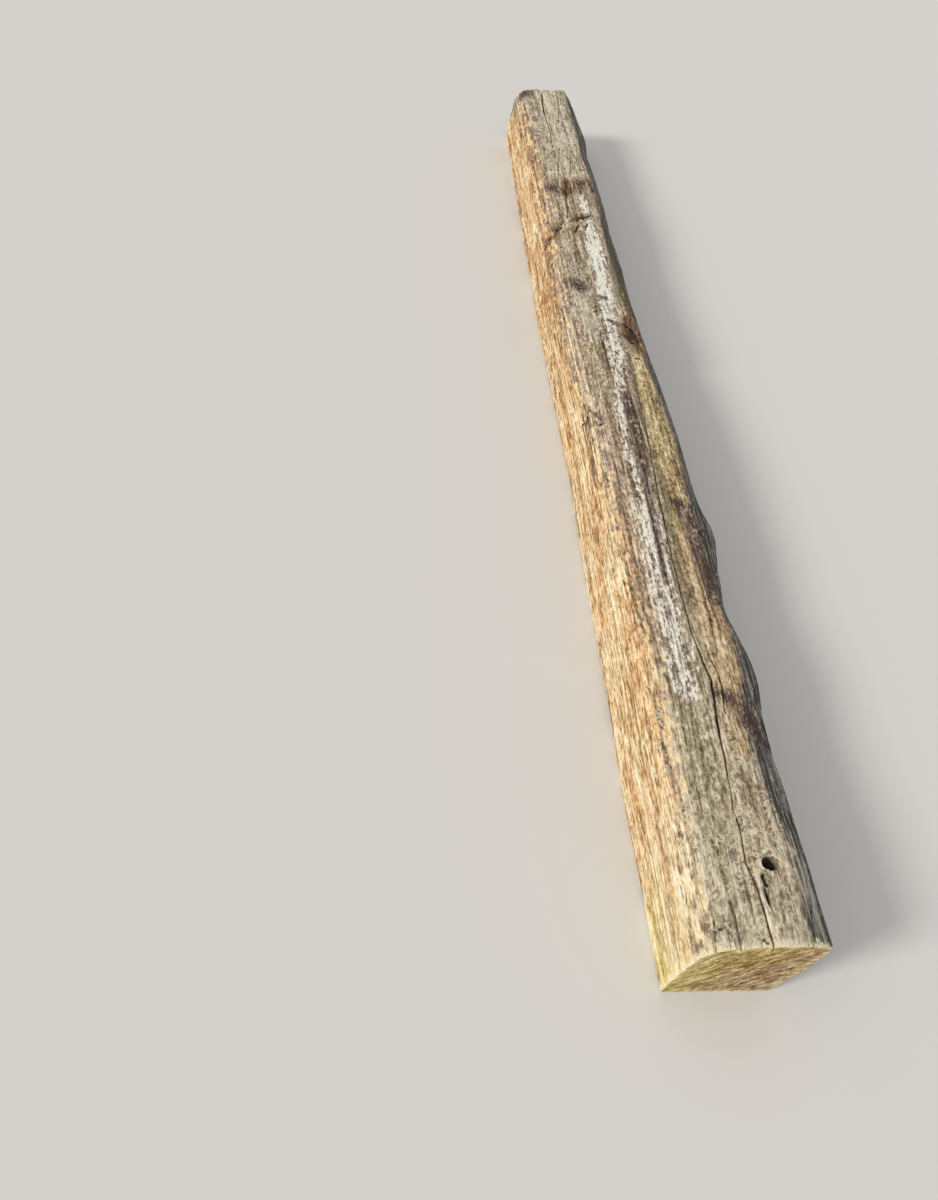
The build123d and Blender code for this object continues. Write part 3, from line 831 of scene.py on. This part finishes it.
# Single colours
NEAR_END_GOLD, NEAR_END_GREY = srgb(240, 218, 170), srgb(166, 152, 124)
WORM_TRACK, MOSSY_WORM_TRACK = srgb(236, 226, 196), srgb(226, 220, 184)
# The first colour here is painted shade in the low spots of the top's crumbs
LOW_SPOT_SHADE, DULL_MOSS, DEEP_MOSS = srgb(104, 80, 64), srgb(96, 84, 54), srgb(66, 66, 38)
# Painted shade in pits, painted shade and dirt in fine cracks and hollows, and the sawn ends' worn pale rim
# with a painted highlight
PIT_SHADE, CRACK_SHADE_AND_DIRT, HOLLOW_SHADE_AND_DIRT, WORN_RIM_AND_HIGHLIGHT = srgb(88, 64, 42), srgb(74, 52, 34), srgb(30, 24, 18), srgb(250, 236, 198)
FLOOR_PAINT, SEEN_SKY, LIT_SKY = srgb(226, 224, 220), srgb(216, 213, 207), (1.0, 1.0, 1.0, 1.0)


class Value:
    """A number that varies over a surface. Python's operators add the nodes that work it out."""

    def __init__(self, shader, socket):
        self.shader, self.socket = shader, socket

    def worked(self, operation, *values):
        return self.shader.node("ShaderNodeMath", {"operation": operation}, dict(enumerate(values)))

    def __add__(self, other):
        return self.worked("ADD", self, other)

    def __sub__(self, other):
        return self.worked("SUBTRACT", self, other)

    def __rsub__(self, other):
        return self.worked("SUBTRACT", other, self)

    def __mul__(self, other):
        return self.worked("MULTIPLY", self, other)

    def __abs__(self):
        return self.worked("ABSOLUTE", self)

    __radd__, __rmul__ = __add__, __mul__


class Shader:
    """The node tree of a material or of the sky."""

    def __init__(self, owner):
        self.owner = owner
        self.owner.use_nodes = True
        self.tree = owner.node_tree

    def node(self, kind, settings, inputs, output=0):
        """Adds a node with its settings and inputs, and returns one of its outputs."""
        made = self.tree.nodes.new(kind)
        for name, setting in settings.items():
            if name == "stops":
                self.set_stops(made.color_ramp, setting)
            else:
                setattr(made, name, setting)
        for name, value in inputs.items():
            self.feed(made.inputs[name], value)
        return Value(self, made.outputs[output])

    def feed(self, socket, value):
        """Links a varying value to a socket, or sets it to a plain one."""
        if isinstance(value, Value):
            self.tree.links.new(value.socket, socket)
        else:
            socket.default_value = value

    @staticmethod
    def set_stops(ramp, stops):
        while len(ramp.elements) < len(stops):
            ramp.elements.new(0.5)
        for element, (position, colour) in zip(ramp.elements, stops):
            element.position, element.color = position, colour


class Surface(Shader):
    """A material, with the places and marks on the timber that its colours follow."""

    def __init__(self, name):
        super().__init__(bpy.data.materials.new(name))
        self.place = self.node("ShaderNodeTexCoord", {}, {}, "Object")
        self.rightward, self.along_grain, self.height = self.axis("X"), self.axis("Y"), self.axis("Z")

    def axis(self, name):
        return self.node("ShaderNodeSeparateXYZ", {}, {"Vector": self.place}, name)

    def mark(self, name):
        return self.node("ShaderNodeAttribute", {"attribute_name": name}, {}, "Fac")

    def rise(self, value, low, high):
        """0 at low and 1 at high, with a smooth slope between. High may be the lower of the two."""
        settings = {"interpolation_type": "SMOOTHSTEP"}
        inputs = {"Value": value, "From Min": low, "From Max": high, "To Min": 0.0, "To Max": 1.0}
        return self.node("ShaderNodeMapRange", settings, inputs)

    def grains(self, place, scale, shift, detail, roughness, distortion):
        """Noise at a place that is first scaled and then shifted along its three axes."""
        inputs = {0: place, 1: scale, 2: shift}
        moved = self.node("ShaderNodeVectorMath", {"operation": "MULTIPLY_ADD"}, inputs)
        inputs = {"Vector": moved, "Scale": 1.0, "Detail": detail}
        inputs.update({"Roughness": roughness, "Distortion": distortion})
        return self.node("ShaderNodeTexNoise", {}, inputs, "Fac")

    def noise(self, across, along, shift, detail=3.0, roughness=0.55, distortion=0.0):
        """Noise whose grains are so many metres across the grain and along it."""
        scale, shifts = (1 / across, 1 / along, 1 / across), (shift, shift * 1.7, shift * 0.6)
        return self.grains(self.place, scale, shifts, detail, roughness, distortion)

    def slanted_noise(self, across, along, shift):
        """Noise in streaks that rise to the right on the end faces."""
        inputs = {0: self.place, "Angle": END_STREAK_TILT}
        turned = self.node("ShaderNodeVectorRotate", {"rotation_type": "Y_AXIS"}, inputs)
        scale = (1 / along, 1 / across, 1 / across)
        return self.grains(turned, scale, (shift,) * 3, detail=3.0, roughness=0.5, distortion=0.5)

    def spread(self, value):
        """Noise spread out over the whole range from 0 to 1."""
        return self.rise(value, NOISE_LOW, NOISE_HIGH)

    def tones(self, value, name):
        """The wood's colour for each value, from the table of tones."""
        stops = [(position, srgb(*colour)) for position, *colour in TONES[name]]
        return self.node("ShaderNodeValToRGB", {"stops": stops}, {"Fac": value}, "Color")

    def mix(self, share, first, second):
        """The first colour, with a share from 0 to 1 of the second laid over it."""
        settings = {"data_type": "RGBA", "blend_type": "MIX", "clamp_factor": True}
        # The node has several sockets of each name, so they go by number
        return self.node("ShaderNodeMix", settings, {0: share, 6: first, 7: second}, 2)

    def bump(self, height, distance, strength):
        inputs = {"Height": height, "Distance": distance, "Strength": strength}
        return self.node("ShaderNodeBump", {}, inputs, "Normal")

    def finish(self, colour, roughness, normal):
        """Gives the material its colour, roughness and bumps."""
        inputs = self.tree.nodes["Principled BSDF"].inputs
        self.feed(inputs["Base Color"], colour)
        self.feed(inputs["Roughness"], roughness)
        self.feed(inputs["Normal"], normal)
        self.feed(inputs["Specular IOR Level"], DULL_GLOSS)
        return self.owner


class WeatheredWood(Surface):
    """Bare hardwood after years outdoors, with the noises and the tones that its colours share.

    A noise is given by the size of its grains across and along, and by a shift of its own.
    """

    def __init__(self):
        super().__init__("weathered_wood")
        self.grain = self.spread(self.noise(0.0022, 0.080, 3.0, roughness=0.6))
        self.flecks = self.spread(self.noise(0.0042, 0.018, 7.0, roughness=0.62))
        self.crumbs = self.spread(self.noise(0.0050, 0.0085, 11.0, detail=4.0, roughness=0.68))
        self.clumps = self.spread(self.noise(0.013, 0.030, 13.0, roughness=0.6))
        self.patches = self.spread(self.noise(0.034, 0.150, 17.0))
        self.streaks = self.spread(self.noise(0.0065, 0.120, 19.0))
        self.lines = self.spread(self.noise(0.0040, 0.350, 29.0, roughness=0.6))
        self.bands = self.spread(self.noise(0.0110, 0.480, 67.0, roughness=0.6))
        self.brown_bands = self.spread(self.noise(0.0150, 0.380, 71.0, detail=4.0, roughness=0.62))
        self.gold_side = self.mark("gold")
        self.near_end = self.rise(self.along_grain + (self.clumps - 0.5) * 0.05, -1.06, -1.26)
        self.far_part = self.rise(self.along_grain, -0.10, 0.60)

    @cached_property
    def gold_tone(self):
        """Where the golden side lies between its darkest and its lightest tone."""
        tone = self.streaks * 0.16 + self.bands * 0.16 + self.clumps * 0.17 + self.flecks * 0.18
        tone = tone + self.grain * 0.19 + self.crumbs * 0.14
        nearer = self.rise(self.along_grain, 0.15, -0.25)
        return (tone - 0.45) * 1.22 + 0.45 + nearer * 0.035 + self.near_end * 0.02

    @cached_property
    def grey_tone(self):
        """Where the grey top lies between its darkest and its lightest tone."""
        tone = self.crumbs * 0.22 + self.grain * 0.16 + self.flecks * 0.18 + self.clumps * 0.12
        tone = tone + self.streaks * 0.16 + self.bands * 0.16
        return (tone - 0.5) * 1.18 + 0.5 + self.far_part * 0.030

    @cached_property
    def worm_tracks(self):
        """Pale curly tracks in patches of the grey top, most of them near the near end."""
        curls = self.noise(0.014, 0.018, 23.0, detail=2.0, roughness=0.5, distortion=1.6)
        tracks = self.rise(abs(curls - 0.5), 0.080, 0.035)
        patches = self.rise(self.patches + (self.clumps - 0.5) * 0.7 + self.near_end * 0.30, 0.28, 0.58)
        return tracks * patches * (self.rise(self.along_grain, -0.50, -0.90) * 0.80 + 0.20)

    # Specks: painted shade in small pits, which the bump also sinks
    @cached_property
    def specks(self):
        return self.rise(self.noise(0.0036, 0.0110, 37.0, detail=2.0, roughness=0.5), 0.60, 0.67)

    # Fine cracks: painted shade and dirt in cracks, which the bump also sinks
    @cached_property
    def fine_cracks(self):
        cracks = self.rise(self.noise(0.0070, 0.150, 61.0, detail=2.0, roughness=0.5), 0.615, 0.665)
        return cracks * self.rise(self.flecks, 0.1, 0.5)

    @cached_property
    def wander(self):
        """How far the border of a stretch strays from its stroke."""
        coarse = (self.crumbs - 0.5) * 0.50 + (self.clumps - 0.5) * 0.75
        return coarse + (self.flecks - 0.5) * 0.35 + (self.streaks - 0.5) * 0.45

    def stretch(self, name, low, high, most, streaky=0.0):
        """How much of a marked stretch shows: none where its border is at low, and most of it at high."""
        border = self.mark(name) + self.wander + (self.lines - 0.5) * streaky
        return self.rise(border, low, high) * most


def golden_wood(wood):
    """The sheltered left side: golden, orange in patches, and greenish at the foot of the near end."""
    gold, orange, green = (wood.tones(wood.gold_tone, name) for name in ("gold", "orange", "green_foot"))
    warmth = wood.patches * 0.75 + (wood.clumps - 0.5) * 0.30 - wood.gold_side * 0.18
    warmth = warmth + wood.rise(wood.along_grain, -1.2, -0.5) * 0.20
    gold = wood.mix(wood.rise(warmth - wood.near_end * 0.45, -0.10, 0.55), gold, orange)
    gold = wood.mix(wood.near_end * 0.32, gold, NEAR_END_GOLD)
    by_the_end = wood.rise(wood.along_grain + (wood.patches - 0.5) * 0.14, -1.17, -1.30)
    return wood.mix(by_the_end * wood.rise(wood.height, 0.12, 0.03) * 0.8, gold, green)


def grey_wood(wood):
    """The top's silvery grey, with pinkish patches, brown bands, painted shade in low spots and worm tracks.
    """
    grey, pinkish, brown = (wood.tones(wood.grey_tone, name) for name in ("grey", "pinkish", "brown"))
    grey = wood.mix(wood.patches * 0.70 + wood.far_part * 0.25, grey, pinkish)
    beside_gold = wood.rise(wood.gold_side + (wood.clumps - 0.5) * 0.6, -1.1, -0.3)
    grey = wood.mix(beside_gold * wood.rise(wood.streaks, 0.15, 0.75) * 0.8, grey, pinkish)
    grey = wood.mix(wood.rise(wood.brown_bands + (wood.clumps - 0.5) * 0.4, 0.42, 0.80) * 0.75, grey, brown)
    # painted shade where the crumbs, which the bump also lowers, are low
    grey = wood.mix(wood.rise(wood.crumbs + wood.streaks * 0.6, 0.42, 0.18) * 0.5, grey, LOW_SPOT_SHADE)
    grey = wood.mix(wood.near_end * 0.30, grey, NEAR_END_GREY)
    return wood.mix(wood.worm_tracks * 0.62, grey, WORM_TRACK)


def moss(wood):
    """Moss: green-grey at the near end, duller beyond it, and dark green on the far half."""
    green, brown = (wood.tones(wood.grey_tone, name) for name in ("moss", "brown"))
    green = wood.mix(wood.rise(wood.brown_bands, 0.5, 0.9) * 0.5, green, brown)
    green = wood.mix(wood.worm_tracks * 0.5, green, MOSSY_WORM_TRACK)
    green = wood.mix(wood.rise(wood.along_grain, -0.95, -0.80) * 0.32, green, DULL_MOSS)
    return wood.mix(wood.rise(wood.along_grain, -0.10, 0.10) * 0.85, green, DEEP_MOSS)


def tan_wood(wood):
    """The tan band right of the long split, which turns olive farther off."""
    tan, olive = (wood.tones(wood.grey_tone, name) for name in ("tan", "olive"))
    farther = wood.rise(wood.along_grain + (wood.clumps - 0.5) * 0.2, -0.66, -0.35)
    return wood.mix(farther * 0.8, tan, olive)


def crust(wood):
    """The white crust beside the long split, whitest along its middle and farther off."""
    tone = wood.streaks * 0.26 + wood.crumbs * 0.30 + wood.flecks * 0.20 + wood.clumps * 0.16
    tone = (tone + wood.mark("crust") * 0.10 - 0.42) * 1.25 + 0.42
    farther, nearer = wood.rise(wood.along_grain, -0.2, 0.3), wood.rise(wood.along_grain, -0.60, -0.80)
    return wood.tones(tone + farther * 0.24 - nearer * 0.03, "crust")


def stain(wood):
    """Purple-brown stains."""
    tone = wood.crumbs * 0.30 + wood.flecks * 0.25 + wood.streaks * 0.25 + wood.clumps * 0.20
    return wood.tones(tone, "stain")


def shaded_right_strip(wood):
    """The grey wood right of the arris, darkened with painted shade: how much of it shows, and its colour.
    Between two stations near the near end its border reaches in over the top, painting the shade there too.
    """
    # painted shade that reaches in over the lit top between two stations
    painted_shade_reach = wood.rise(wood.along_grain, -1.24, -1.12) * wood.rise(wood.along_grain, -0.86, -0.98)
    border = wood.mark("strip") + (wood.flecks - 0.5) * 0.6 + (wood.streaks - 0.5) * 1.0 + painted_shade_reach * 0.6
    tone = wood.lines * 0.45 + wood.grain * 0.35 + wood.crumbs * 0.20 + wood.near_end * 0.17
    return wood.rise(border, 0.0, 0.9), wood.tones(tone, "strip")


def weathered_wood():
    """The sleeper's weathered faces: grey wood, with other wood laid over it stretch by stretch."""
    wood = WeatheredWood()
    strip_share, strip = shaded_right_strip(wood)
    golden = wood.gold_side + (wood.flecks - 0.5) * 0.8 + (wood.clumps - 0.5) * 1.1
    golden = golden + (wood.streaks - 0.5) * 0.9
    bared = wood.mark("bare") + (wood.flecks - 0.5) * 0.7 + (wood.clumps - 0.5) * 0.5
    rim = wood.mark("rim") + (wood.flecks - 0.5) * 0.009 + (wood.clumps - 0.5) * 0.007
    colour = grey_wood(wood)
    for share, layer in (
        (wood.stretch("pale", -0.70, 0.40, 0.90), wood.tones(wood.grey_tone, "pale")),
        (wood.stretch("rosy", -0.60, 0.50, 0.80), wood.tones(wood.grey_tone, "rosy")),
        (wood.stretch("tan", -0.60, 0.40, 0.85), tan_wood(wood)),
        # the grey right strip, with its painted shade
        (strip_share, strip),
        (wood.stretch("moss", -0.50, 0.60, 0.75), moss(wood)),
        (wood.stretch("crust", -0.55, 0.35, 0.95), crust(wood)),
        (wood.stretch("stain", -0.25, 0.50, 0.90, streaky=0.7), stain(wood)),
        (wood.stretch("rot", -0.30, 0.50, 0.92), wood.tones(wood.grey_tone, "rot")),
        (wood.rise(golden, -0.70, 0.60), golden_wood(wood)),
        (wood.rise(bared, -0.1, 0.6) * 0.75, wood.tones(wood.gold_tone, "bare")),
        # painted shade in the pits, and painted shade and dirt in the fine cracks
        (wood.specks * 0.40, PIT_SHADE),
        (wood.fine_cracks * 0.62, CRACK_SHADE_AND_DIRT),
        # the sawn ends' worn pale rims, partly a painted highlight
        (wood.rise(rim, 0.0085, 0.0020) * 0.80, WORN_RIM_AND_HIGHLIGHT),
        # painted shade and dirt in the splits, checks, gouges and spike hole
        (wood.rise(wood.mark("dark"), 0.15, 0.85) * 0.93, HOLLOW_SHADE_AND_DIRT),
    ):
        colour = wood.mix(share, colour, layer)
    height = wood.crumbs * 0.34 + wood.flecks * 0.22 + wood.grain * 0.22 + wood.lines * 0.16
    height = height + wood.clumps * 0.30 + wood.streaks * 0.25 - wood.specks * 0.3 - wood.fine_cracks * 0.5
    return wood.finish(colour, 0.80 + wood.grain * 0.12, wood.bump(height, distance=0.0022, strength=0.8))


def sawn_end_grain():
    """The sawn ends, with the slanted tears that the saw left, a brown lower right and a paler rim that is
    worn and partly a painted highlight.
    """
    wood = Surface("sawn_end_grain")
    cloud = wood.spread(wood.noise(0.030, 0.030, 41.0, detail=4.0, roughness=0.6))
    fine = wood.spread(wood.noise(0.0035, 0.0035, 43.0, roughness=0.6))
    streaks = wood.spread(wood.slanted_noise(0.0036, 0.015, 47.0))
    bands = wood.spread(wood.slanted_noise(0.010, 0.038, 53.0))
    tone = streaks * 0.30 + bands * 0.22 + fine * 0.20 + cloud * 0.16 + 0.06
    golden, brown, pale = (wood.tones(tone, name) for name in ("sawn_gold", "sawn_brown", "sawn_pale"))
    low_right = wood.rise(wood.rightward - wood.height * 0.5 + (cloud - 0.5) * 0.09, -0.085, 0.0)
    colour = wood.mix(low_right * 0.85, golden, brown)
    nearer = wood.rise(wood.along_grain, 1.0, -1.0)
    left_part = wood.rise(wood.rightward + (cloud - 0.5) * 0.060, -0.040, -0.095)
    colour = wood.mix(left_part * (nearer * 0.55 + 0.30), colour, pale)
    # the worn pale rim, partly a painted highlight, strongest on the near end
    rim = wood.rise(wood.mark("rim") + (fine - 0.5) * 0.006 + (cloud - 0.5) * 0.006, 0.0085, 0.0015)
    colour = wood.mix(rim * (nearer * 0.45 + 0.30), colour, pale)
    height = streaks * 0.6 + bands * 0.5 + fine * 0.3
    return wood.finish(colour, 0.80 + fine * 0.1, wood.bump(height, distance=0.0016, strength=0.7))


def plain_floor():
    """A pale floor that goes on past the view."""
    mesh = bpy.data.meshes.new("floor")
    corner_signs = ((-1, -1), (1, -1), (1, 1), (-1, 1))
    mesh.from_pydata([(x * FLOOR_REACH, y * FLOOR_REACH, 0) for x, y in corner_signs], [], [(0, 1, 2, 3)])
    paint = Shader(bpy.data.materials.new("floor_paint"))
    sockets = paint.tree.nodes["Principled BSDF"].inputs
    paint.feed(sockets["Base Color"], FLOOR_PAINT)
    paint.feed(sockets["Roughness"], FLOOR_ROUGHNESS)
    floor = placed("floor", mesh)
    floor.data.materials.append(paint.owner)


def lighting():
    """A low soft lamp on the left, and an even pale sky that shows a little darker than it lights."""
    lamp = bpy.data.lights.new("key_lamp", "SUN")
    lamp.energy, lamp.angle, lamp.color = LAMP_STRENGTH, LAMP_WIDTH, LAMP_COLOUR
    placed("key_lamp", lamp).rotation_euler = (-Vector(LAMP_FROM)).to_track_quat("-Z", "Y").to_euler()
    bpy.context.scene.world = bpy.data.worlds.new("studio")
    sky = Shader(bpy.context.scene.world)
    lit = sky.node("ShaderNodeBackground", {}, {"Color": LIT_SKY, "Strength": SKY_STRENGTH})
    seen = sky.node("ShaderNodeBackground", {}, {"Color": SEEN_SKY, "Strength": 1.0})
    rays = ("Is Camera Ray", "Is Glossy Ray", "Is Transmission Ray")
    straight, glossy, through = (sky.node("ShaderNodeLightPath", {}, {}, ray) for ray in rays)
    whole = sky.node("ShaderNodeMixShader", {}, {0: straight + glossy + through, 1: lit, 2: seen})
    sky.feed(sky.tree.nodes["World Output"].inputs["Surface"], whole)


def camera():
    """A camera at eye height before the near end, looking along the sleeper and down on it."""
    lens = bpy.data.cameras.new("camera")
    lens.sensor_fit, lens.sensor_height, lens.lens = "VERTICAL", SENSOR_HEIGHT, FOCAL_LENGTH
    lens.clip_end = VIEW_END
    holder = placed("camera", lens)
    holder.location, holder.rotation_euler = CAMERA_PLACE, [radians(angle) for angle in CAMERA_TURN]
    bpy.context.scene.camera = holder


camera()
sleeper = timber()
sleeper.data.materials.append(weathered_wood())
sleeper.data.materials.append(sawn_end_grain())
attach(sleeper, "root")
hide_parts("sleeper")
plain_floor()
lighting()
bpy.context.scene.view_settings.view_transform = "Standard"
